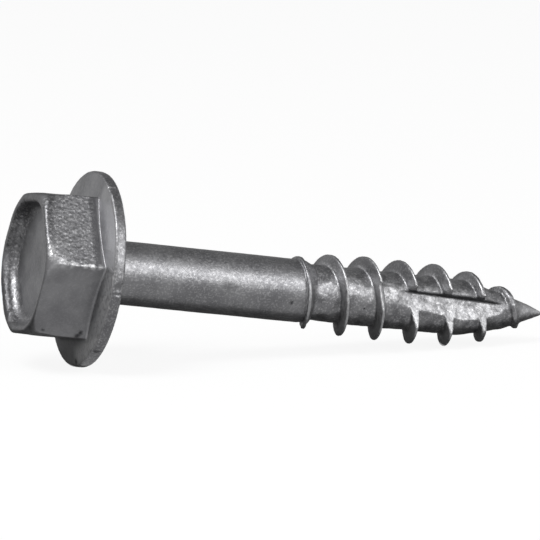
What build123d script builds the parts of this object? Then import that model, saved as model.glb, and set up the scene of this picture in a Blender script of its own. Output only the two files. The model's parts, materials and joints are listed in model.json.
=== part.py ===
from build123d import *
from math import acos, atan2, cos, degrees, radians, sin, sqrt, tan
import os

# Flanged lag screw, M6 x 35, lying on its flange edge and thread.
# The screw is drawn on its own axis: Z = 0 is the bearing face under the head,
# +Z runs to the point, and angles turn from local X, right-handed about +Z.
# The last section lays it down: local X then looks along -Y, the axis runs along +X.

# ---- driving dimensions (mm, degrees) ----
length = 35.0                 # bearing face to point
thread_diameter = 6.0
core_diameter = 4.1
shank_diameter = 4.56
shank_length = 15.9           # plain length under the head
shank_step = 0.5              # cone from the shank down to the core
underhead_fillet = 0.45

across_flats = 10.0
head_height = 5.25            # bearing face to the end of the head
flange_diameter = 14.0
flange_hex_height = 1.03      # where the flats meet the flange
flange_slope = 11.5           # fall of each flange facet
flange_edge = 0.2             # rounding of the rim, less where the hexagon comes near it
rim_seam_turn = 45.0          # where the rim's circle starts, clear of the place it lies on
hex_turn = -7.6               # a corner of the hexagon, from local X
end_flat_inset = 0.2          # the end face turns down to the corners this far inside the flats
end_crown_radius = 1.3        # arc that takes the corners off
end_round = 0.22              # rounding of the end edges of the head

recess_land = 0.62            # ring left around the indented head end
recess_depth = 1.0
recess_corner = 3.0
recess_draft = 14.0
recess_floor_round = 0.6
recess_lip_round = 0.45

pitch = 2.75
thread_phase = 18.56          # height at which the crest crosses local X
ridge_foot_width = 0.82       # at the foot, below the core's surface
crest_width = 0.14            # at full height
crest_spread = 0.12           # extra half width of the crest where the ridge is low
run_out = 2.7                 # how far up the shank the ridge would begin on a regular helix
run_in = 7.4                  # length over which the ridge reaches full height
run_in_power = 1.75
crowding = 0.5                # the first turn is pushed together towards the point
crowding_length = 1.7
crest_taper = 9.0             # length before the point over which the crest falls
bare_tip = 0.85               # the ridge sinks into the point this far from its end
root_sink = 0.2               # depth of the ridge's foot inside the core
points_per_turn = 20
ridge_spans = 3               # the ridge is added in this many lengths, end to end

point_length = 6.75
point_bulge = 0.23            # how far the point's side stands out of a plain cone
tip_radius = 0.07

flute_wall_turn = -29.3       # the notch's wall lies in this plane through the axis
flute_flat_turn = -21.7       # direction in which the notch's flat faces
flute_depth = 0.21            # notch corner below the core, where its straight run starts
flute_straight = 11.0         # start of the straight run, from the point
flute_slope = 0.068           # fall of the straight run towards the axis
flute_cutter_radius = 7.0     # run-out arc of the milling cutter
flute_end = 3.6               # end of the cut, from the point: short of the last turn

# ---- derived ----
core_radius = core_diameter / 2
shank_radius = shank_diameter / 2
thread_radius = thread_diameter / 2
flange_radius = flange_diameter / 2
corner_radius = across_flats / 2 / cos(radians(30))
rim_round = min(flange_edge, (flange_radius - corner_radius) / 2)
point_start = length - point_length
ridge_start = shank_length - run_out
ridge_end = length - bare_tip
clear = 0.5                   # how far shapes reach past or into each other where they meet


def point_radius(z):
    """Radius of the bare point, an arc from the core to the tip."""
    rise = core_radius - tip_radius
    chord = sqrt(rise**2 + point_length**2)
    arc_radius = (chord**2 / 4 + point_bulge**2) / (2 * point_bulge)
    lean = atan2(rise, point_length)
    centre_drop = arc_radius - point_bulge
    centre_z = point_start + point_length / 2 - centre_drop * sin(lean)
    centre_r = (core_radius + tip_radius) / 2 - centre_drop * cos(lean)
    return centre_r + sqrt(arc_radius**2 - (z - centre_z) ** 2)


def body_radius(z):
    """Radius of the screw without its thread."""
    if z <= shank_length:
        return shank_radius
    if z <= shank_length + shank_step:
        return shank_radius - (shank_radius - core_radius) * (z - shank_length) / shank_step
    if z <= point_start:
        return core_radius
    return point_radius(z)


def crest_radius(z):
    """Radius of the thread crest: it rises out of the shank, runs full and falls at the point."""
    run = max(0.0, 1 - (z - ridge_start) / run_in)
    fall = max(0.0, 1 - (length - z) / crest_taper)
    rise = (thread_radius - shank_radius + root_sink / 2) * run**run_in_power
    return thread_radius - rise - thread_radius * fall**2


def ridge_height(z):
    """Height of the ridge for its place z on a regular helix: the first turn is crowded."""
    ahead = max(0.0, shank_length + shank_step + ridge_foot_width / 4 - z)
    return z + crowding * (ahead / crowding_length) ** 2


def ridge_section(z):
    """Radius and height of the four corners of the ridge's section: foot, crest, crest, foot."""
    middle = ridge_height(z)
    crest = crest_radius(z)
    foot = min(body_radius(middle + ridge_foot_width / 2), crest) - root_sink
    lowness = (thread_radius - crest) / (thread_radius - core_radius)
    crest_half = crest_width / 2 + crest_spread * min(1.0, lowness)
    foot_half = ridge_foot_width / 2
    return (
        (foot, middle - foot_half),
        (crest, middle - crest_half),
        (crest, middle + crest_half),
        (foot, middle + foot_half),
    )


def ridge(low, high):
    """Closed solid of the thread between two heights, its foot sunk in the core."""
    steps = round((high - low) / pitch * points_per_turn)
    corner_points = [[], [], [], []]
    for i in range(steps + 1):
        z = low + (high - low) * i / steps
        turn = 360 * (z - thread_phase) / pitch
        for points, (radius, height) in zip(corner_points, ridge_section(z)):
            points.append(Vector(radius, 0, height).rotate(Axis.Z, turn))
    edges = [Edge.make_spline(points) for points in corner_points]
    sides = [Face.make_surface_from_curves(edges[i - 1], edges[i]) for i in range(4)]
    ends = [Face(Wire.make_polygon([edge @ place for edge in edges])) for place in (0, 1)]
    return Solid(Shell(sides + ends))


# ---- flange: six sloping facets, cut to a round rim ----
with BuildPart() as flange:
    with BuildSketch(Plane.XY):
        RegularPolygon(
            across_flats / 2 + flange_hex_height / tan(radians(flange_slope)),
            side_count=6,
            major_radius=False,
            rotation=hex_turn,
        )
    with BuildSketch(Plane.XY.offset(-flange_hex_height - clear)):
        RegularPolygon(
            across_flats / 2 - clear / tan(radians(flange_slope)),
            side_count=6,
            major_radius=False,
            rotation=hex_turn,
        )
    loft(ruled=True)
    Cylinder(
        flange_radius,
        flange_hex_height + clear,
        rotation=(0, 0, rim_seam_turn),
        align=(Align.CENTER, Align.CENTER, Align.MAX),
        mode=Mode.INTERSECT,
    )
    fillet(flange.edges().filter_by(GeomType.LINE, reverse=True), rim_round)

# ---- hexagon head: its end turned down at the corners, with a rounded hexagonal recess ----
with BuildPart() as head:
    with BuildSketch(Plane.XY.offset(-head_height)):
        RegularPolygon(across_flats / 2, side_count=6, major_radius=False, rotation=hex_turn)
    extrude(amount=head_height - flange_hex_height + clear)
    with BuildSketch(Plane.XZ):
        with BuildLine():
            end_edge = (across_flats / 2 - end_flat_inset, -head_height)
            crown_end = (end_edge[0] + end_crown_radius, end_crown_radius - head_height)
            Line((0, -head_height), end_edge)
            RadiusArc(end_edge, crown_end, -end_crown_radius)
            Polyline(crown_end, (crown_end[0], 0), (0, 0), (0, -head_height))
        make_face()
    revolve(axis=Axis.Z, mode=Mode.INTERSECT)
    crown = head.faces().filter_by(GeomType.TORUS)
    fillet(crown.edges().filter_by(GeomType.CIRCLE, reverse=True), end_round)
    for depth, inset in ((0, 0), (recess_depth, recess_depth * tan(radians(recess_draft)))):
        apothem = across_flats / 2 - recess_land - inset
        with BuildSketch(Plane.XY.offset(depth - head_height)) as outline:
            RegularPolygon(apothem, side_count=6, major_radius=False, rotation=hex_turn)
            fillet(outline.vertices(), recess_corner - inset)
    loft(ruled=True, mode=Mode.SUBTRACT)
    floor = head.faces().filter_by(Plane.XY).sort_by(Axis.Z)[1]
    fillet(floor.edges(), recess_floor_round)
    land = head.faces().sort_by(Axis.Z)[0]
    fillet(land.inner_wires().edges(), recess_lip_round)

# ---- body: shank, core and point turned about the axis, with the ridge and the head ----
with BuildPart() as screw:
    with BuildSketch(Plane.XZ):
        with BuildLine():
            foot = (shank_radius + underhead_fillet, 0)
            Line((0, 0), foot)
            RadiusArc(foot, (shank_radius, underhead_fillet), underhead_fillet)
            Polyline(
                (shank_radius, underhead_fillet),
                (shank_radius, shank_length),
                (core_radius, shank_length + shank_step),
                (core_radius, point_start),
            )
            SagittaArc((core_radius, point_start), (tip_radius, length), -point_bulge)
            Polyline((tip_radius, length), (0, length), (0, 0))
        make_face()
    revolve(axis=Axis.Z)
    span = (ridge_end - ridge_start) / ridge_spans
    for i in range(ridge_spans):
        add(ridge(ridge_start + i * span, ridge_start + (i + 1) * span))

    # milled flute: a notch with one wall in a plane through the axis, and the cutter's run-out arc
    flute_wall = Plane(
        origin=(0, 0, 0),
        x_dir=(0, 0, 1),
        z_dir=(-sin(radians(flute_wall_turn)), cos(radians(flute_wall_turn)), 0),
    )
    along_flat = Vector(-sin(radians(flute_flat_turn)), cos(radians(flute_flat_turn)), 0)
    with BuildSketch(flute_wall):
        with BuildLine():
            straight_start = Vector(length - flute_straight, core_radius - flute_depth)
            slope = degrees(atan2(flute_slope, 1))
            arc_centre = straight_start + Vector(flute_cutter_radius, 0).rotate(Axis.Z, 90 - slope)
            outside = thread_radius + clear
            arc_turn = degrees(acos((arc_centre.Y - outside) / flute_cutter_radius)) - slope
            run_out_arc = CenterArc(arc_centre, flute_cutter_radius, -90 - slope, -arc_turn)
            cut_end = length - flute_end
            end_reach = straight_start.Y - flute_slope * (cut_end - straight_start.X)
            Polyline(run_out_arc @ 1, (cut_end, outside), (cut_end, end_reach), run_out_arc @ 0)
        make_face()
    extrude(amount=thread_diameter, dir=along_flat, mode=Mode.SUBTRACT)
    add(flange.part)
    add(head.part)

# ---- lying down: on the edge of the flange and the crest that touches first ----
leans = []
height = thread_phase + pitch / 4  # a quarter turn past local X the crest faces down
while height < ridge_end:
    leans.append(degrees(atan2(flange_radius - crest_radius(height), height + rim_round)))
    height += pitch
rest_tilt = min(leans)
lying = Plane(
    origin=(0, 0, 0),
    x_dir=(0, -1, 0),
    z_dir=(cos(radians(rest_tilt)), 0, -sin(radians(rest_tilt))),
)
tilted = screw.part.moved(lying.location)
extent = tilted.bounding_box()
seat = Location((-extent.center().X, -extent.center().Y, -extent.min.Z))
with BuildPart() as lag_screw:
    add(tilted.moved(seat))

os.makedirs("parts", exist_ok=True)
lag_screw.part.label = "lag_screw"
export_step(lag_screw.part, "parts/lag_screw.step")
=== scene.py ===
import json
from math import atan2, cos, degrees, hypot, radians, sin, tan

import bmesh
import bpy
from bpy.props import FloatProperty, FloatVectorProperty, IntProperty, PointerProperty
from bpy.types import Operator, Panel, PropertyGroup
from mathutils import Matrix, Vector, noise


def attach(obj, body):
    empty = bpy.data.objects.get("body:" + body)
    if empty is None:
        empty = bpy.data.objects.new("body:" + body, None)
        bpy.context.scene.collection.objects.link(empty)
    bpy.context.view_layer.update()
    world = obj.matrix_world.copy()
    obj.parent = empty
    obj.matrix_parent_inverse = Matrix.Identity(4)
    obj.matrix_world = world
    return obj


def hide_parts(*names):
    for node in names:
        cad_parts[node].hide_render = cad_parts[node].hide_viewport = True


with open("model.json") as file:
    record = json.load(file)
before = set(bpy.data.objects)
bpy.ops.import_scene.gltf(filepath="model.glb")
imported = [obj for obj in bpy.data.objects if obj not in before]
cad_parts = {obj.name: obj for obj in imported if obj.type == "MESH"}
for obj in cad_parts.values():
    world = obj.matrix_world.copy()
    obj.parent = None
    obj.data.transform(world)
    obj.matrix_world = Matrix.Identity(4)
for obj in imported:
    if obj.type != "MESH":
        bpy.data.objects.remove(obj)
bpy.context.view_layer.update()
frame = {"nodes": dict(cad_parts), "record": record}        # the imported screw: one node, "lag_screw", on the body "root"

bl_info = {
    "name": "Lag screw",
    "version": (1, 0, 0),
    "blender": (4, 5, 0),
    "location": "3D View > Sidebar > Lag Screw",
    "description": "Galvanised flange lag screw, forged and thread-rolled, lying in a small studio",
    "category": "Object",
}

MM = 0.001
NODE = "lag_screw"
# the edge and rubbing layers also hold painted highlights, and the stain layer painted shade
LAYERS = ("edge", "rubbed_and_lit", "rough", "stained_and_shaded")     # what the coat looks like at each vertex

# ---- the screw's own axes, from its mounts ----
# Z runs from the bearing face to the point, X to the front and Y down. Angles "round" are
# degrees about the axis, from the front, positive upwards.


def mount(name):
    """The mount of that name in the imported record."""
    return next(m for m in frame["record"]["mounts"] if m["name"] == name)


def screw_place():
    """Matrix that takes the screw's own millimetres to the frame's metres."""
    tip = Vector(mount("wood_thread")["pos_m"])
    axis = Vector(mount("wood_thread")["axis"]).normalized()
    face = tip + axis * (Vector(mount("bearing_face")["pos_m"]) - tip).dot(axis)
    front = Vector((0, -1, 0))
    down = axis.cross(front)
    turn = Matrix((front, down, axis)).transposed().to_4x4()
    return Matrix.Translation(face) @ turn @ Matrix.Scale(MM, 4)


PLACE = screw_place()
TO_SCREW = PLACE.inverted()
LENGTH = (TO_SCREW @ Vector(mount("wood_thread")["pos_m"])).z
HEAD_END = (TO_SCREW @ Vector(mount("hex_drive")["pos_m"])).z

# directions in degrees round the axis
CORNER_STEP = 60
CORNER = 7.6                                # a corner of the hexagon
GRAINED_FLAT = CORNER + CORNER_STEP / 2     # the flat with the leather grain
FLUTE_FACING = 21.7                         # the way the flat of the flute faces
FLUTE_WALL = 29.3                           # the wall's plane through the axis
TORN_FACING = 19                            # middle of the torn start of the flute
TORN_HALF_ANGLE = 17

# millimetres: heights from the bearing face, and distances from the axis
FLANGE_FOOT = -1.03                         # where the flats meet the flange
RECESS_FLOOR = HEAD_END + 1.0
RIM_RADIUS = 7.0
CROWN_RADIUS = 4.85                         # where the end of the head starts to turn down
CORNER_REACH = 0.92                         # from there to a corner
SHANK_END = 15.9
SHANK_RADIUS = 2.28
CORE_RADIUS = 2.05
THREAD_RADIUS = 3.0
POINT_LENGTH = 6.75
POINT_BULGE = 1.3                           # power of the point's taper: 1 is a plain cone
LAST_TURN = 31.3                            # only the last turn of the thread lies past this
FLUTE_START = 21.5
FLUTE_END = 32.2
TORN_MIDDLE = 22.2
TORN_HALF_LENGTH = 1.5

SHARP_BEND = 5.0                            # what bend_of divides by, so a sharp edge gives 1

# width of one lump of each unevenness in mm, and which part of the noise it reads
UNEVEN = {
    "warp": (2.4, 1),
    "peel": (0.35, 2),
    "leather": (0.125, 3),
    "core": (0.75, 4),
    "core_fine": (0.33, 5),
    "milled": (0.13, 6),
    "torn": (0.4, 8),
    "scraped": (0.35, 9),
    "worn_edge": (0.45, 10),
    "leather_wide": (0.30, 11),
    "mark_outline": (0.2, 12),
    "rim": (0.25, 13),
    "recess": (0.15, 14),
    "core_hollows": (0.42, 15),
    "torn_fine": (0.18, 16),
    "tip": (0.19, 17),
}
NOISE_LUMP = 0.6                            # width of one lump of Blender's noise

# marks of use and painted glints: height, degrees round, distance from the axis, reach, dent depth,
# rubbed (the glints are painted highlights), stained
MARKS = (
    # the nick is dented, and its bright rubbed colour is partly a painted highlight
    (-5.10, 20.0, 5.15, 0.20, 0.03, 0.3, 0.0),      # nick on the near corner of the head
    (-5.05, 16.5, 5.30, 0.26, 0.05, 0.5, 0.0),
    (-4.90, 12.5, 5.45, 0.20, 0.04, 0.3, 0.0),
    (-4.45, 8.5, 5.72, 0.40, 0.05, 0.2, 0.0),
    # painted highlights: the glints along the near corner are bright rubbed colour
    (-3.57, 7.5, 5.77, 0.20, 0.03, 0.8, 0.0),       # glints along the near corner
    (-3.20, 8.2, 5.75, 0.14, 0.02, 0.6, 0.0),
    (-2.55, 7.2, 5.77, 0.16, 0.02, 0.7, 0.0),
    (-2.02, 7.5, 5.77, 0.20, 0.03, 0.9, 0.0),
    (-1.45, 7.8, 5.77, 0.16, 0.02, 0.8, 0.0),
    (-0.75, 63.0, 7.00, 0.10, 0.05, 1.0, 0.0),      # seam across the rim
    (-0.60, 63.0, 7.00, 0.10, 0.05, 1.0, 0.0),
    (-0.45, 63.0, 7.00, 0.10, 0.05, 0.9, 0.0),
    (-0.30, 63.2, 7.00, 0.10, 0.05, 0.7, 0.0),
    (-0.16, -4.0, 7.00, 0.30, 0.10, 0.1, 0.0),      # nick in the rim
    (-0.20, -6.5, 7.00, 0.22, 0.06, 0.0, 0.3),
    (-0.70, -77.6, 6.66, 0.20, 0.02, 0.0, 0.8),     # dark spots and streaks
    (-0.48, -49.0, 7.00, 0.20, 0.03, 0.0, 0.8),
    (-1.75, -51.0, 5.60, 0.20, 0.03, 0.0, 0.9),
    (-1.55, -48.5, 5.60, 0.16, 0.03, 0.0, 0.9),
    (-4.60, -50.0, 5.60, 0.13, 0.02, 0.0, 0.7),
    (9.40, 3.0, 2.28, 0.35, 0.00, 0.0, 0.35),
    (9.90, 1.0, 2.28, 0.25, 0.00, 0.0, 0.35),
    (14.52, -17.7, 2.28, 0.12, 0.02, 0.0, 0.9),
)


# ---- sizes and colours that a user would change ----


def linear(code):
    """Linear colour of an sRGB hex code."""
    parts = [int(code[i:i + 2], 16) / 255 for i in (1, 3, 5)]
    return [p / 12.92 if p <= 0.04045 else ((p + 0.055) / 1.055) ** 2.4 for p in parts]


def size_mm(name, description, value):
    """A length property in metres whose default is given in millimetres."""
    return FloatProperty(name=name, description=description, default=value * MM, unit="LENGTH",
                         precision=6)


def colour(name, description, code):
    """A colour property whose default is an sRGB hex code."""
    return FloatVectorProperty(name=name, description=description, subtype="COLOR", size=3,
                               min=0, max=1, default=linear(code))


class ForgingSettings(PropertyGroup):
    """Shape that forging, rolling and coating leave on the screw."""

    cell: size_mm("Mesh cell", "Grid that the surface is rebuilt on", 0.14)
    rounds: IntProperty(name="Softening", description="Smoothing passes over every edge",
                        default=1, min=0, max=10)
    dome: size_mm("Facet dome", "How far each flange facet stands out at its middle", 0.16)
    warp: size_mm("Warp", "Slow unevenness of the forging", 0.025)
    leather: size_mm("Leather grain", "Grain that the forging tool leaves on one flat", 0.022)
    core_lumps: size_mm("Core lumps", "Waviness that the thread rolls leave on the core", 0.06)
    peel: size_mm("Orange peel", "Waviness of the zinc coat", 0.008)
    milled: size_mm("Milled grain", "Tearing left by the milling cutter in the flute", 0.02)
    turn_lean: size_mm("First turn", "How far the first turn leans to the head", 0.22)
    tip_lift: size_mm("Tip lift", "How far the tip is bent up", 0.18)
    corner_wear: size_mm("Corner wear", "How far the end corners of the head are rounded off", 0.4)


class CoatSettings(PropertyGroup):
    """Colours and grain of the zinc coat."""

    zinc: colour("Zinc", "Dull grey of the coat", "#8a8a8c")
    dark: colour("Thin coat", "Darker grey in hollows and where the coat is thin", "#67676a")
    # the rubbed colour is also the colour of the painted highlights and painted light
    bright: colour("Rubbed zinc", "Brighter grey of rubbed and cut surfaces", "#c5c5c6")
    # the specks' colour is also the colour of the painted shade
    soot_and_shade: colour("Specks", "Dark specks and pits", "#2a2a2c")
    grain: size_mm("Grain", "Width of one grain of the coat", 0.125)
    grain_depth: size_mm("Grain depth", "Height of the grain", 0.02)
    mottle: size_mm("Mottle", "Width of one cloudy patch of the coat", 1.1)
    roughness: FloatProperty(name="Roughness", description="Roughness of the coat between grains",
                             default=0.42, min=0, max=1, subtype="FACTOR")


class StageSettings(PropertyGroup):
    """Floor, lamps and camera."""

    floor: colour("Floor", "Pale floor", "#f2f2f2")
    whiteness: FloatProperty(name="Whiteness", description="Share of the floor shown plain white",
                             default=0.9, min=0, max=1, subtype="FACTOR")
    ambient: FloatProperty(name="Ambient", description="Even light on matt surfaces", default=0.4)
    key_power: FloatProperty(name="Key", description="Power of the key softbox", default=0.95,
                             unit="POWER")
    side_power: FloatProperty(name="Side", description="Power of the softbox over the head",
                              default=1.85, unit="POWER")
    lens: FloatProperty(name="Lens", description="Focal length", default=333.3, unit="CAMERA")
    distance: size_mm("Distance", "Camera to bearing face", 355.5)
    aside: size_mm("Aside", "Camera to the right of the bearing face", 12.565)
    lower: size_mm("Lower", "Camera below the height of the bearing face", 0.012)
    azimuth: FloatProperty(name="Azimuth", description="Camera turned from the front",
                           default=radians(-20.1), subtype="ANGLE")
    elevation: FloatProperty(name="Elevation", description="Camera above the horizon",
                             default=radians(8.01), subtype="ANGLE")


# ---- mesh helpers, in the screw's own millimetres ----


def smoothstep(start, full, value):
    """0 before start and 1 past full, whichever of the two is greater, with a soft rise between."""
    t = min(1, max(0, (value - start) / (full - start)))
    return t * t * (3 - 2 * t)


def around(point):
    """Distance from the axis and degrees round it, from the front, upwards positive."""
    return hypot(point.x, point.y), -degrees(atan2(point.y, point.x))


def at(round_angle, radius, z):
    """Point at that angle round the axis."""
    turn = radians(-round_angle)
    return Vector((radius * cos(turn), radius * sin(turn), z))


def merged_copy(node):
    """A bmesh of the node in the screw's millimetres, with its loose triangles joined."""
    bm = bmesh.new()
    bm.from_mesh(frame["nodes"][node].data)
    bmesh.ops.transform(bm, matrix=TO_SCREW, verts=bm.verts)
    bmesh.ops.remove_doubles(bm, verts=bm.verts, dist=0.0005)
    return bm


def rebuilt(bm, cell):
    """The same shape on an even grid of quads that keeps its edges."""
    mesh = bpy.data.meshes.new("rebuild")
    bm.to_mesh(mesh)
    bm.free()
    shape = bpy.data.objects.new("rebuild", mesh)
    bpy.context.scene.collection.objects.link(shape)
    remesh = shape.modifiers.new("remesh", "REMESH")
    remesh.mode = "SHARP"
    remesh.octree_depth = 9
    # the grid is 2 to the power of the depth cells wide, and the shape takes this share of it
    remesh.scale = max(shape.dimensions) / (cell * 2 ** remesh.octree_depth)
    remesh.use_remove_disconnected = False
    result = bmesh.new()
    result.from_object(shape, bpy.context.evaluated_depsgraph_get())
    bpy.data.objects.remove(shape)
    bpy.data.meshes.remove(mesh)
    return result


def closed(bm):
    """Dissolves the few pinched places of the rebuilt grid and closes what is left open."""
    pinched = {v for e in bm.edges if len(e.link_faces) != 2 for v in e.verts}
    for _ in range(4):                     # a closed hole can pinch its neighbour
        if not pinched:
            break
        faces = {f for v in pinched for f in v.link_faces}
        bmesh.ops.delete(bm, geom=list(faces), context="FACES")
        loose = [v for v in bm.verts if not v.link_faces]
        bmesh.ops.delete(bm, geom=loose, context="VERTS")
        rims = [e for e in bm.edges if len(e.link_faces) == 1]
        bmesh.ops.holes_fill(bm, edges=rims, sides=0)
        wide = [f for f in bm.faces if len(f.verts) > 4]
        bmesh.ops.triangulate(bm, faces=wide)
        pinched = {v for e in bm.edges if len(e.link_faces) != 2 for v in e.verts}
    bmesh.ops.recalc_face_normals(bm, faces=bm.faces)


def facet(point):
    """Flat of the hexagon that a point belongs to: its direction round the axis, the distance
    towards it, and how far along it from the middle (0) to a corner (1)."""
    radius, round_angle = around(point)
    first = CORNER + CORNER_STEP / 2
    middle = first + CORNER_STEP * round((round_angle - first) / CORNER_STEP)
    turn = radians(round_angle - middle)
    towards = radius * cos(turn)
    half_width = max(towards, 0.1) * tan(radians(CORNER_STEP / 2))
    return middle, towards, abs(radius * sin(turn)) / half_width


def on_grained_flat(middle):
    """Whether a flat, told by its direction, is the one with the leather grain."""
    return abs(middle - GRAINED_FLAT) < 1


def body_radius(z):
    """Radius of the screw under its thread."""
    if z < SHANK_END:
        return SHANK_RADIUS
    taper = min(1, max(0, (LENGTH - z) / POINT_LENGTH))
    return CORE_RADIUS * (1 - (1 - taper) ** POINT_BULGE)


def lumps(point, kind, depth=1):
    """Uneven height between -depth and depth."""
    width, part = UNEVEN[kind]
    return depth * noise.noise(point * (NOISE_LUMP / width) + Vector((part, 7 * part, 0)))


def milled(point, normal):
    """1 on the flat of the milled flute."""
    facing = at(FLUTE_FACING, 1, 0)
    if not FLUTE_START < point.z < FLUTE_END or normal.dot(facing) < 0.93:
        return 0
    sunk = body_radius(point.z) - point.dot(facing)
    return smoothstep(-0.04, 0.04, sunk) * (around(point)[0] < THREAD_RADIUS + 0.2)


def torn(point):
    """1 where the cutter tore into the core at the start of the flute."""
    radius, round_angle = around(point)
    along = (point.z - TORN_MIDDLE) / TORN_HALF_LENGTH
    away = hypot(along, (round_angle - TORN_FACING) / TORN_HALF_ANGLE)
    return smoothstep(1.1, 0.5, away) * (radius < CORE_RADIUS + 0.35)


def busy(face):
    """Whether the surface is so grained or marked there that it needs a finer mesh."""
    point = face.calc_center_median()
    if point.z > LENGTH - 2.6:
        return True
    if point.z > 0:
        return milled(point, face.normal) > 0
    middle, towards, _ = facet(point)
    radius = hypot(point.x, point.y)
    grained = on_grained_flat(middle) and towards > 4.8 and point.z < FLANGE_FOOT + 0.03
    in_recess = point.z < RECESS_FLOOR + 0.15 and 3.5 < radius < 4.7
    return grained or in_recess or radius > RIM_RADIUS - 0.07


def refined(bm):
    """Halves the cells of the busy places."""
    inside = {f for f in bm.faces if busy(f)}
    edges = {e for f in inside for e in f.edges}
    bmesh.ops.subdivide_edges(bm, edges=list(edges), cuts=1, use_grid_fill=True)
    bmesh.ops.triangulate(bm, faces=[f for f in bm.faces if len(f.verts) > 4])


def bend_of(vert):
    """Above 0 on a convex edge and below 0 in a hollow, about 1 at a sharp one."""
    total = 0
    for edge in vert.link_edges:
        away = edge.other_vert(vert).co - vert.co
        total -= away.dot(vert.normal) / max(away.length_squared, 1e-6)
    return total / len(vert.link_edges) / SHARP_BEND


def marks(point):
    """Dent, rubbing and stain that the marks leave at a point; the rubbing of some marks is a painted
    glint.
    """
    dent = rubbed_and_lit = stained_and_shaded = 0.0
    for z, round_angle, radius, reach, depth, rub_and_light, stain_and_shade in MARKS:
        away = (point - at(round_angle, radius, z)).length
        if away < 1.6 * reach:
            uneven = 1 + lumps(point, "mark_outline", 0.6)
            share = smoothstep(1.5, 0.5, away / reach * uneven)
            dent = max(dent, depth * share)
            rubbed_and_lit = max(rubbed_and_lit, rub_and_light * share)
            stained_and_shaded = max(stained_and_shaded, stain_and_shade * share)
    return dent, rubbed_and_lit, stained_and_shaded


def edge_wear_and_glint(point, radius, bend):
    """How bright an edge is painted, partly wear and partly painted highlight on convex edges: the
    rim and the crests most, the hexagon's corners least.
    """
    if point.z > 0.3:                       # shank and thread
        most = 0.75
    elif radius > RIM_RADIUS - 0.7:
        most = 0.8
    elif point.z < RECESS_FLOOR - 0.05:     # end of the head
        most = 0.28
    else:
        most = 0.15
    ragged = smoothstep(-0.02, 0.25, lumps(point, "worn_edge"))
    return most * ragged * smoothstep(0.12, 0.4, bend)


# ---- what each part of the screw looks like, vertex by vertex ----


class Skin:
    """One vertex of the screw as forging, rolling, coating and use leave it.

    start is its place before and point its place after. height is how far it moves out along its
    normal. The four shares of the coat run from 0 to 1 and go to the layers of the mesh; the edge and
    rubbing layers also hold painted highlights, and the stain layer painted shade."""

    def __init__(self, vert, forging):
        self.start = vert.co.copy()
        self.point = vert.co.copy()
        self.normal = vert.normal.copy()
        self.radius, self.round_angle = around(self.start)
        self.edge = edge_wear_and_glint(self.start, self.radius, bend_of(vert))
        dent, self.rubbed_and_lit, self.stained_and_shaded = marks(self.start)
        self.rough = 0.0
        self.height = lumps(self.start, "warp", forging.warp / MM)
        self.height += lumps(self.start, "peel", forging.peel / MM) - dent

    def rub_and_light(self, share):
        self.rubbed_and_lit = max(self.rubbed_and_lit, share)

    def stain_and_shade(self, share):
        self.stained_and_shaded = max(self.stained_and_shaded, share)

    def roughen(self, share):
        self.rough = max(self.rough, share)


def forge_head(skin, forging):
    """Domes the flange's facets and rounds the corners of the head's end."""
    z = skin.start.z
    side = min(1, facet(skin.start)[2])
    on_facet = smoothstep(-0.08, -0.5, z) * smoothstep(-3.0, -1.3, z)
    near_end = smoothstep(-3.0, HEAD_END + 0.35, z)
    beyond = max(0, skin.radius - CROWN_RADIUS) / CORNER_REACH
    wear = forging.corner_wear / MM * near_end
    skin.point.z += wear * beyond ** 2 - forging.dome / MM * (1 - side ** 2) * on_facet
    shrink = 1 - 0.35 * wear * beyond ** 3 / skin.radius
    skin.point.x *= shrink
    skin.point.y *= shrink


def coat_recess(skin, forging):
    """Painted shade on the lip, darkest on its low side, and peened wall of the recess."""
    z, round_angle = skin.start.z, skin.round_angle
    towards = facet(skin.start)[1]
    # painted shade: the lip is darkened against its highlight, most on the low side
    lip = smoothstep(4.12, 4.25, towards) * smoothstep(4.86, 4.74, towards)
    lip *= smoothstep(HEAD_END + 0.65, HEAD_END + 0.45, z)
    shaded_low_side = smoothstep(-172, -155, round_angle) * smoothstep(-90, -115, round_angle)
    skin.stain_and_shade(lip * (0.3 + 0.45 * shaded_low_side))
    wall = smoothstep(3.5, 3.8, skin.radius) * smoothstep(4.75, 4.55, skin.radius)
    wall *= skin.point.z < RECESS_FLOOR + 0.15
    skin.roughen(wall)
    skin.stain_and_shade(0.15 * wall)
    skin.height += wall * lumps(skin.point, "recess", 0.9 * forging.leather / MM)


def coat_flats(skin, forging):
    """Leather grain of one flat, a darker band at its end, and painted shadow where it meets the
    flange.
    """
    z, depth = skin.start.z, forging.leather / MM
    middle, towards, side = facet(skin.start)
    # darker band at the end of the flats, darker towards the top
    darker_end = smoothstep(HEAD_END + 0.75, HEAD_END + 0.45, z) * smoothstep(4.6, 4.8, towards)
    darker_end *= smoothstep(5, 10, skin.round_angle)
    skin.stain_and_shade(darker_end * (0.15 + 0.3 * smoothstep(22, 40, skin.round_angle)))
    if not on_grained_flat(middle):
        return
    reach = smoothstep(FLANGE_FOOT - 0.32, FLANGE_FOOT - 0.87, z)
    reach *= smoothstep(1.0, 0.9, side) * smoothstep(4.7, 4.9, towards)
    skin.height += reach * lumps(skin.start, "leather", depth)
    skin.height += reach * lumps(skin.start, "leather_wide", 0.4 * depth)
    leather = smoothstep(FLANGE_FOOT - 0.27, FLANGE_FOOT - 0.87, skin.point.z)
    skin.roughen(leather * (towards > 4.6))
    skin.stain_and_shade(0.08 * leather)
    # painted shadow: a dark band along the foot of the grained flat, where the flange shades it
    soot_and_shade = smoothstep(FLANGE_FOOT - 0.92, FLANGE_FOOT - 0.72, skin.point.z)
    soot_and_shade *= smoothstep(FLANGE_FOOT - 0.22, FLANGE_FOOT - 0.37, skin.point.z)
    skin.stain_and_shade(0.45 * soot_and_shade)


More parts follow.
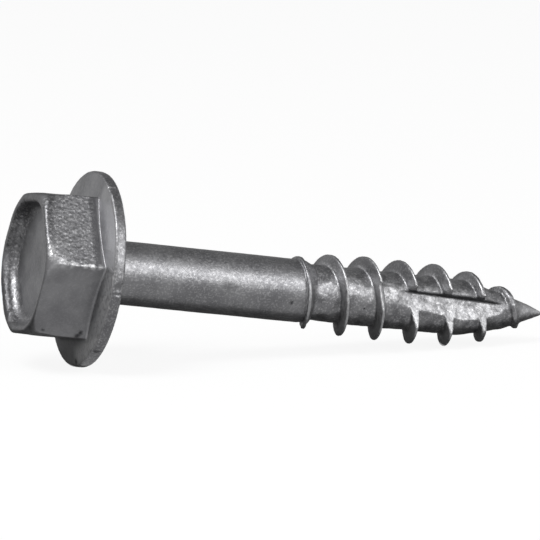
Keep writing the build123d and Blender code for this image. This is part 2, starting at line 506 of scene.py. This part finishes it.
def coat_flange(skin):
    """Peened rim, and painted light on the facets on the near side, the lower ones most."""
    radius, round_angle = skin.radius, skin.round_angle
    rim = smoothstep(RIM_RADIUS - 0.25, RIM_RADIUS - 0.05, radius)
    skin.roughen(0.7 * rim)
    skin.stain_and_shade(0.2 * rim)
    outermost = smoothstep(RIM_RADIUS - 0.15, RIM_RADIUS - 0.02, radius)
    skin.height += outermost * lumps(skin.point, "rim", 0.012)
    # painted light: the facets turned to the front are brightened, the lower ones most
    painted_light = smoothstep(-85, -70, round_angle) * smoothstep(70, 64, round_angle)
    on_facet = smoothstep(FLANGE_FOOT - 0.12, FLANGE_FOOT + 0.08, skin.point.z)
    on_facet *= smoothstep(RIM_RADIUS - 0.05, RIM_RADIUS - 0.2, radius) * (radius > 4.9)
    skin.rub_and_light(painted_light * on_facet * (0.35 + 0.6 * smoothstep(8, 2, round_angle)))


def roll_core(skin, forging):
    """Waves that the thread rolls leave between the turns, with painted shade in dark patches among
    them.
    """
    edge = CORE_RADIUS + 0.3
    if skin.start.z < SHANK_END - 1.5 or skin.radius > edge + 0.1:
        return
    reach = smoothstep(SHANK_END - 1.5, SHANK_END + 0.6, skin.start.z)
    reach *= smoothstep(edge, edge - 0.2, skin.radius)
    reach *= smoothstep(LENGTH, LENGTH - 2.5, skin.start.z)
    skin.height += reach * lumps(skin.start, "core", forging.core_lumps / MM)
    skin.height += reach * lumps(skin.start, "core_fine", 0.7 * forging.core_lumps / MM)
    skin.roughen(0.85 * reach)
    # painted shade: dark patches between the waves' highlights
    painted_hollow_shade = smoothstep(0.05, -0.35, lumps(skin.start, "core_hollows"))
    skin.stain_and_shade(0.35 * reach * painted_hollow_shade)


def roll_thread(skin, forging):
    """Ridge with painted light on its front and painted shade on its top, its first turn leaning to
    the head.
    """
    z, round_angle = skin.start.z, skin.round_angle
    if z > SHANK_END:
        ridge = smoothstep(CORE_RADIUS + 0.15, CORE_RADIUS + 0.35, skin.radius)
        # painted light on the front of the ridge, and painted shade on its top
        front = smoothstep(60, 35, round_angle) * smoothstep(-80, -45, round_angle)
        skin.rub_and_light(0.35 * ridge * front)
        skin.stain_and_shade(0.3 * ridge * smoothstep(50, 75, round_angle))
    first_turn = smoothstep(SHANK_END + 2.0, SHANK_END + 1.1, z)
    first_turn *= smoothstep(SHANK_END - 1.7, SHANK_END - 0.7, z)
    first_turn *= smoothstep(2.2, 2.5, skin.radius) * smoothstep(110, 50, abs(round_angle))
    skin.point.z -= first_turn * forging.turn_lean / MM


def mill_flute(skin, forging):
    """Cutter's grain on the flute's flat, its torn start, and painted shade along the foot of its
    wall.
    """
    z, depth = skin.start.z, forging.milled / MM
    flat = milled(skin.start, skin.normal)
    tear = torn(skin.start)
    skin.height += flat * lumps(skin.start, "milled", 0.8 * depth)
    skin.height += tear * lumps(skin.start, "torn", 2.5 * depth)
    skin.height += tear * lumps(skin.start, "torn_fine", 1.5 * depth)
    skin.roughen(tear)
    skin.rub_and_light(0.15 * flat)
    skin.rub_and_light(0.4 * tear * smoothstep(-0.1, 0.25, lumps(skin.start, "scraped")))
    # painted shade: a dark line along the foot of the flute's wall, which faces down
    if skin.radius < CORE_RADIUS + 0.15:
        from_wall = radians(abs(skin.round_angle - FLUTE_WALL)) * skin.radius
        run = smoothstep(FLUTE_START + 1.3, FLUTE_START + 2.5, z)
        run *= smoothstep(FLUTE_END - 0.8, FLUTE_END - 1.6, z)
        skin.stain_and_shade(0.8 * run * smoothstep(0.17, 0.07, from_wall))


def wear_tip(skin):
    """Tip of the point, peened and rubbed."""
    tip = smoothstep(LENGTH - 3.2, LENGTH - 1.5, skin.start.z)
    skin.rub_and_light(0.3 * tip)
    skin.roughen(tip)
    skin.height += tip * smoothstep(0.1, 0.35, skin.radius) * lumps(skin.start, "tip", 0.022)


def shaped(vert, forging):
    """The skin of one vertex, with its new place."""
    skin = Skin(vert, forging)
    if skin.start.z < 0:
        skin.roughen(0.08)
        forge_head(skin, forging)
        coat_recess(skin, forging)
        coat_flats(skin, forging)
        coat_flange(skin)
    else:
        skin.roughen(0.5 * (skin.start.z > 0.2))
        roll_core(skin, forging)
        roll_thread(skin, forging)
        mill_flute(skin, forging)
        wear_tip(skin)
    skin.point += skin.normal * skin.height
    bent = smoothstep(LENGTH - 4.5, LENGTH, skin.point.z)
    skin.point.y -= bent * forging.tip_lift / MM
    return skin


def softened(bm, verts, times):
    """Smooths those vertices that many times."""
    for _ in range(times):
        bmesh.ops.smooth_vert(bm, verts=verts, factor=0.5, use_axis_x=True, use_axis_y=True,
                              use_axis_z=True)


def build_screw(forging):
    """The screw's mesh in its own millimetres, with layers that say how worn the coat is."""
    cell = forging.cell / MM
    bm = rebuilt(merged_copy(NODE), cell)
    bmesh.ops.remove_doubles(bm, verts=bm.verts, dist=cell / 20)
    closed(bm)
    softened(bm, bm.verts, forging.rounds)
    last_turn = [v for v in bm.verts
                 if v.co.z > LAST_TURN and hypot(v.co.x, v.co.y) > body_radius(v.co.z) + 0.1]
    softened(bm, last_turn, 3)
    bm.normal_update()
    refined(bm)
    bm.normal_update()
    layers = {name: bm.verts.layers.float.new(name) for name in LAYERS}
    skins = [shaped(vert, forging) for vert in bm.verts]
    for vert, skin in zip(bm.verts, skins):
        vert.co = skin.point
        for name, layer in layers.items():
            vert[layer] = getattr(skin, name)
    return bm


# ---- material ----


def add_node(tree, kind, inputs=None, out=0, **settings):
    """One node with its settings, its inputs set to a value or linked; gives one of its outputs.

    A mix node's colours are the inputs 6 and 7 and the output 2."""
    node = tree.nodes.new(kind)
    for name, value in settings.items():
        setattr(node, name, value)
    for name, value in (inputs or {}).items():
        if isinstance(value, bpy.types.NodeSocket):
            tree.links.new(value, node.inputs[name])
        else:
            node.inputs[name].default_value = value
    return node.outputs[out] if node.outputs else None


def new_material(name):
    """An empty node material and its tree."""
    material = bpy.data.materials.new(name)
    material.use_nodes = True
    material.node_tree.nodes.clear()
    return material, material.node_tree


def zinc_material(coat):
    """Mechanically galvanised steel: zinc dust peened onto the forging gives a dull grey skin of fine
    flattened grains, cloudy where the coat is thick or thin, and brighter where it is rubbed. Painted
    highlights from the mesh's layers brighten it as well, and painted shade darkens it."""
    material, tree = new_material("mechanically_galvanised_zinc")
    place = add_node(tree, "ShaderNodeTexCoord", out="Object")
    wear = {name: add_node(tree, "ShaderNodeAttribute", out="Fac", attribute_name=name)
            for name in LAYERS}

    # zinc dust is under 0.02 mm, too fine to show, so the grain is drawn at the width set above;
    # the Location moves each pattern to its own part of the noise
    cloud = {}
    for name, width, detail in (("grain", coat.grain, 2.0), ("fine", coat.grain * 0.6, 1.0),
                                ("mottle", coat.mottle, 3.0), ("spots", coat.grain * 1.5, 1.0)):
        moved = add_node(tree, "ShaderNodeMapping", {"Vector": place, "Location": (width * 9,) * 3})
        cloud[name] = add_node(tree, "ShaderNodeTexNoise", {
            "Vector": moved, "Scale": 0.5 / width, "Detail": detail, "Roughness": 0.6})

    # how far each change of tone goes: what it follows, the range it rises over, and its ends
    share = {}
    for name, follows, low, high, least, most in (
        ("cloudy", cloud["mottle"], 0.30, 0.70, 0.4, 1.0),
        ("flake", cloud["fine"], 0.50, 0.68, 0.0, 1.0),
        ("coarse", wear["rough"], 0.0, 1.0, 0.06, 0.5),
        ("ragged", cloud["grain"], 0.45, 0.60, 0.0, 1.0),
        ("edge", wear["edge"], 0.0, 1.0, 0.0, 1.0),
        ("scuff_and_sheen", cloud["grain"], 0.30, 0.50, 0.6, 1.0),
        ("spot", cloud["spots"], 0.20, 0.17, 0.0, 1.0),
        ("gloss", cloud["grain"], 0.35, 0.65, coat.roughness - 0.04, coat.roughness + 0.06),
        ("relief", wear["rough"], 0.0, 1.0, 0.5, 1.0),
    ):
        share[name] = add_node(tree, "ShaderNodeMapRange", {
            "Value": follows, "From Min": low, "From Max": high, "To Min": least, "To Max": most},
            interpolation_type="SMOOTHSTEP")
    for name, first, second in (("flake", share["flake"], share["coarse"]),
                                ("edge", share["edge"], share["ragged"]),
                                ("scuff_and_sheen", share["scuff_and_sheen"], wear["rubbed_and_lit"])):
        share[name] = add_node(tree, "ShaderNodeMath", {0: first, 1: second}, operation="MULTIPLY")

    # the bright mixes paint edges, rubbing and painted highlights; the dark ones paint specks, stains
    # and painted shade
    tone = (*coat.dark, 1)
    for factor, colour_over in ((share["cloudy"], coat.zinc), (share["flake"], coat.bright),
                                (share["edge"], coat.bright), (share["scuff_and_sheen"], coat.bright),
                                (share["spot"], coat.soot_and_shade), (wear["stained_and_shaded"], coat.soot_and_shade)):
        tone = add_node(tree, "ShaderNodeMix", {"Factor": factor, 6: tone, 7: (*colour_over, 1)},
                        out=2, data_type="RGBA")

    height = add_node(tree, "ShaderNodeMath", {0: cloud["fine"], 1: 0.5, 2: cloud["grain"]},
                      operation="MULTIPLY_ADD")
    bump = add_node(tree, "ShaderNodeBump", {
        "Strength": share["relief"], "Distance": coat.grain_depth, "Height": height})
    shader = add_node(tree, "ShaderNodeBsdfPrincipled", {
        "Base Color": tone, "Metallic": 1.0, "Roughness": share["gloss"], "Normal": bump})
    add_node(tree, "ShaderNodeOutputMaterial", {"Surface": shader})
    return material


# ---- stage, in metres ----

LAMP_DISTANCE = 0.5
FLAG_DISTANCE = 0.6
FLOOR_CARD_WIDTH = 0.6
FLOOR_CARD_HEIGHT = 0.0002    # just clear of the floor
FLOOR_SIZE = 3.0

# hung cards, which put dark and pale bands on the metal: name, direction from the screw, width,
# height, linear grey
FLAGS = (
    ("flag_back", (0.30, 0.93, 0.35), 0.8, 0.5, 0.28),
    ("flag_left", (-0.75, 0.66, 0.05), 0.55, 0.6, 0.6),
    ("flag_top", (0.35, 0.25, 0.9), 0.9, 0.6, 0.25),
)
# cards on the floor, darkest right under the screw: name, edge nearest the front, far edge,
# linear grey
FLOOR_CARDS = (
    ("floor_card_back", 0.02, 0.36, 0.55),
    # painted shade: the dark card right under the screw stands in, for reflections only, for the
    # shade on the floor there
    ("floor_card_under", -0.002, 0.02, 0.08),
    ("floor_card_front", -0.36, -0.002, 0.6),
)


def view_axes(stage):
    """Right, up and back of the camera."""
    a, e = stage.azimuth, stage.elevation
    right = Vector((cos(a), sin(a), 0))
    back = Vector((sin(a) * cos(e), -cos(a) * cos(e), sin(e)))
    return right, back.cross(right), back


def add_camera(stage):
    """Long lens, turned to the head's side and looking a little down."""
    right, up, back = view_axes(stage)
    camera = bpy.data.objects.new("camera", bpy.data.cameras.new("camera"))
    camera.data.lens = stage.lens
    camera.data.sensor_width = 36
    camera.data.clip_start = 0.01
    camera.data.clip_end = 20
    place = PLACE.translation + right * stage.aside - up * stage.lower + back * stage.distance
    turn = Matrix((right, up, back)).transposed().to_4x4()
    camera.matrix_world = Matrix.Translation(place) @ turn
    bpy.context.scene.collection.objects.link(camera)
    bpy.context.scene.camera = camera


def background_rays(tree):
    """1 for camera, glossy and transmission rays, which all see the white background."""
    rays = add_node(tree, "ShaderNodeLightPath", out="Is Camera Ray")
    path = rays.node.outputs
    for name in ("Is Glossy Ray", "Is Transmission Ray"):
        rays = add_node(tree, "ShaderNodeMath", {0: rays, 1: path[name]}, operation="MAXIMUM")
    return rays


def add_world(stage):
    """Even studio light, plain white where it is seen or mirrored."""
    world = bpy.data.worlds.new("studio")
    world.use_nodes = True
    tree = world.node_tree
    tree.nodes.clear()
    level = add_node(tree, "ShaderNodeMapRange", {
        "Value": background_rays(tree), "To Min": stage.ambient, "To Max": 1.0})
    sky = add_node(tree, "ShaderNodeBackground", {"Color": (1, 1, 1, 1), "Strength": level})
    add_node(tree, "ShaderNodeOutputWorld", {"Surface": sky})
    bpy.context.scene.world = world


def add_floor(stage):
    """Matt paper that looks almost white and still takes the screw's soft shadow."""
    bm = bmesh.new()
    bmesh.ops.create_grid(bm, x_segments=1, y_segments=1, size=FLOOR_SIZE)
    mesh = bpy.data.meshes.new("floor")
    bm.to_mesh(mesh)
    bm.free()
    floor = bpy.data.objects.new("floor", mesh)
    bpy.context.scene.collection.objects.link(floor)
    material, tree = new_material("pale_paper_sweep")
    matt = add_node(tree, "ShaderNodeBsdfDiffuse", {"Color": (*stage.floor, 1)})
    white = add_node(tree, "ShaderNodeEmission", {"Color": (1, 1, 1, 1), "Strength": 1.0})
    share = add_node(tree, "ShaderNodeMath", {0: background_rays(tree), 1: stage.whiteness},
                     operation="MULTIPLY")
    mix = add_node(tree, "ShaderNodeMixShader", {0: share, 1: matt, 2: white})
    add_node(tree, "ShaderNodeOutputMaterial", {"Surface": mix})
    mesh.materials.append(material)


def aim(thing, direction, distance):
    """Places a thing at that direction and distance from the screw, facing it."""
    centre = PLACE @ Vector((0, 0, LENGTH / 3))      # near the middle of the whole screw
    thing.location = centre + direction.normalized() * distance
    thing.rotation_euler = direction.to_track_quat("Z", "Y").to_euler()


def add_softbox(name, direction, side, power):
    """Square softbox, for a broad highlight with soft edges."""
    lamp = bpy.data.lights.new(name, "AREA")
    lamp.shape = "RECTANGLE"
    lamp.size = side
    lamp.size_y = side
    lamp.energy = power
    box = bpy.data.objects.new(name, lamp)
    box.visible_camera = False
    aim(box, direction, LAMP_DISTANCE)
    bpy.context.scene.collection.objects.link(box)


def add_card(name, width, height, shade):
    """A grey card that only bright metal sees, as hung beside metal for a product picture."""
    bm = bmesh.new()
    bmesh.ops.create_grid(bm, x_segments=1, y_segments=1, size=0.5)
    bmesh.ops.scale(bm, vec=(width, height, 1), verts=bm.verts)
    mesh = bpy.data.meshes.new(name)
    bm.to_mesh(mesh)
    bm.free()
    card = bpy.data.objects.new(name, mesh)
    card.visible_camera = False
    card.visible_diffuse = False
    card.visible_shadow = False
    card.visible_transmission = False
    bpy.context.scene.collection.objects.link(card)
    material, tree = new_material("grey_card_" + name)
    grey = add_node(tree, "ShaderNodeEmission", {"Color": (shade, shade, shade, 1)})
    add_node(tree, "ShaderNodeOutputMaterial", {"Surface": grey})
    mesh.materials.append(material)
    return card


# ---- operators ----


class LAGSCREW_OT_screw(Operator):
    """Rebuild the forged screw with its softened edges and galvanised finish"""

    bl_idname = "lagscrew.screw"
    bl_label = "Forged screw"

    def execute(self, context):
        forging = context.scene.lag_screw_forging
        bm = build_screw(forging)
        bmesh.ops.transform(bm, matrix=PLACE, verts=bm.verts)
        bmesh.ops.recalc_face_normals(bm, faces=bm.faces)
        mesh = bpy.data.meshes.new("galvanised_lag_screw")
        bm.to_mesh(mesh)
        bm.free()
        mesh.shade_smooth()
        mesh.materials.append(zinc_material(context.scene.lag_screw_coat))
        screw = bpy.data.objects.new("galvanised_lag_screw", mesh)
        context.scene.collection.objects.link(screw)
        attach(screw, "root")
        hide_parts(NODE)
        return {"FINISHED"}


class LAGSCREW_OT_stage(Operator):
    """Set the pale floor, the softboxes, the flags and the camera"""

    bl_idname = "lagscrew.stage"
    bl_label = "Studio stage"

    def execute(self, context):
        stage = context.scene.lag_screw_stage
        add_camera(stage)
        add_world(stage)
        add_floor(stage)
        add_softbox("key", Vector((0.42, -0.80, 0.42)), 0.26, stage.key_power)
        add_softbox("side", Vector((-0.52, -0.20, 0.83)), 0.22, stage.side_power)
        for name, direction, width, height, shade in FLAGS:
            aim(add_card(name, width, height, shade), Vector(direction), FLAG_DISTANCE)
        for name, near_edge, far_edge, shade in FLOOR_CARDS:
            card = add_card(name, FLOOR_CARD_WIDTH, far_edge - near_edge, shade)
            card.location = (0, (near_edge + far_edge) / 2, FLOOR_CARD_HEIGHT)
        context.scene.view_settings.view_transform = "Standard"
        return {"FINISHED"}


class LAGSCREW_PT_panel(Panel):
    """Buttons and settings of the lag screw"""

    bl_label = "Lag Screw"
    bl_space_type = "VIEW_3D"
    bl_region_type = "UI"
    bl_category = "Lag Screw"

    def draw(self, context):
        scene = context.scene
        for operator, settings in (
            (LAGSCREW_OT_screw, (scene.lag_screw_forging, scene.lag_screw_coat)),
            (LAGSCREW_OT_stage, (scene.lag_screw_stage,)),
        ):
            box = self.layout.box()
            box.operator(operator.bl_idname)
            for group in settings:
                for name in group.bl_rna.properties.keys():
                    if name not in {"rna_type", "name"}:
                        box.prop(group, name)


GROUPS = {
    "lag_screw_forging": ForgingSettings,
    "lag_screw_coat": CoatSettings,
    "lag_screw_stage": StageSettings,
}
CLASSES = (*GROUPS.values(), LAGSCREW_OT_screw, LAGSCREW_OT_stage, LAGSCREW_PT_panel)


def register():
    for cls in CLASSES:
        bpy.utils.register_class(cls)
    for name, group in GROUPS.items():
        setattr(bpy.types.Scene, name, PointerProperty(type=group))


def unregister():
    for name in GROUPS:
        delattr(bpy.types.Scene, name)
    for cls in reversed(CLASSES):
        bpy.utils.unregister_class(cls)


def main():
    register()
    bpy.ops.lagscrew.screw()
    bpy.ops.lagscrew.stage()


if __name__ == "__main__":
    main()
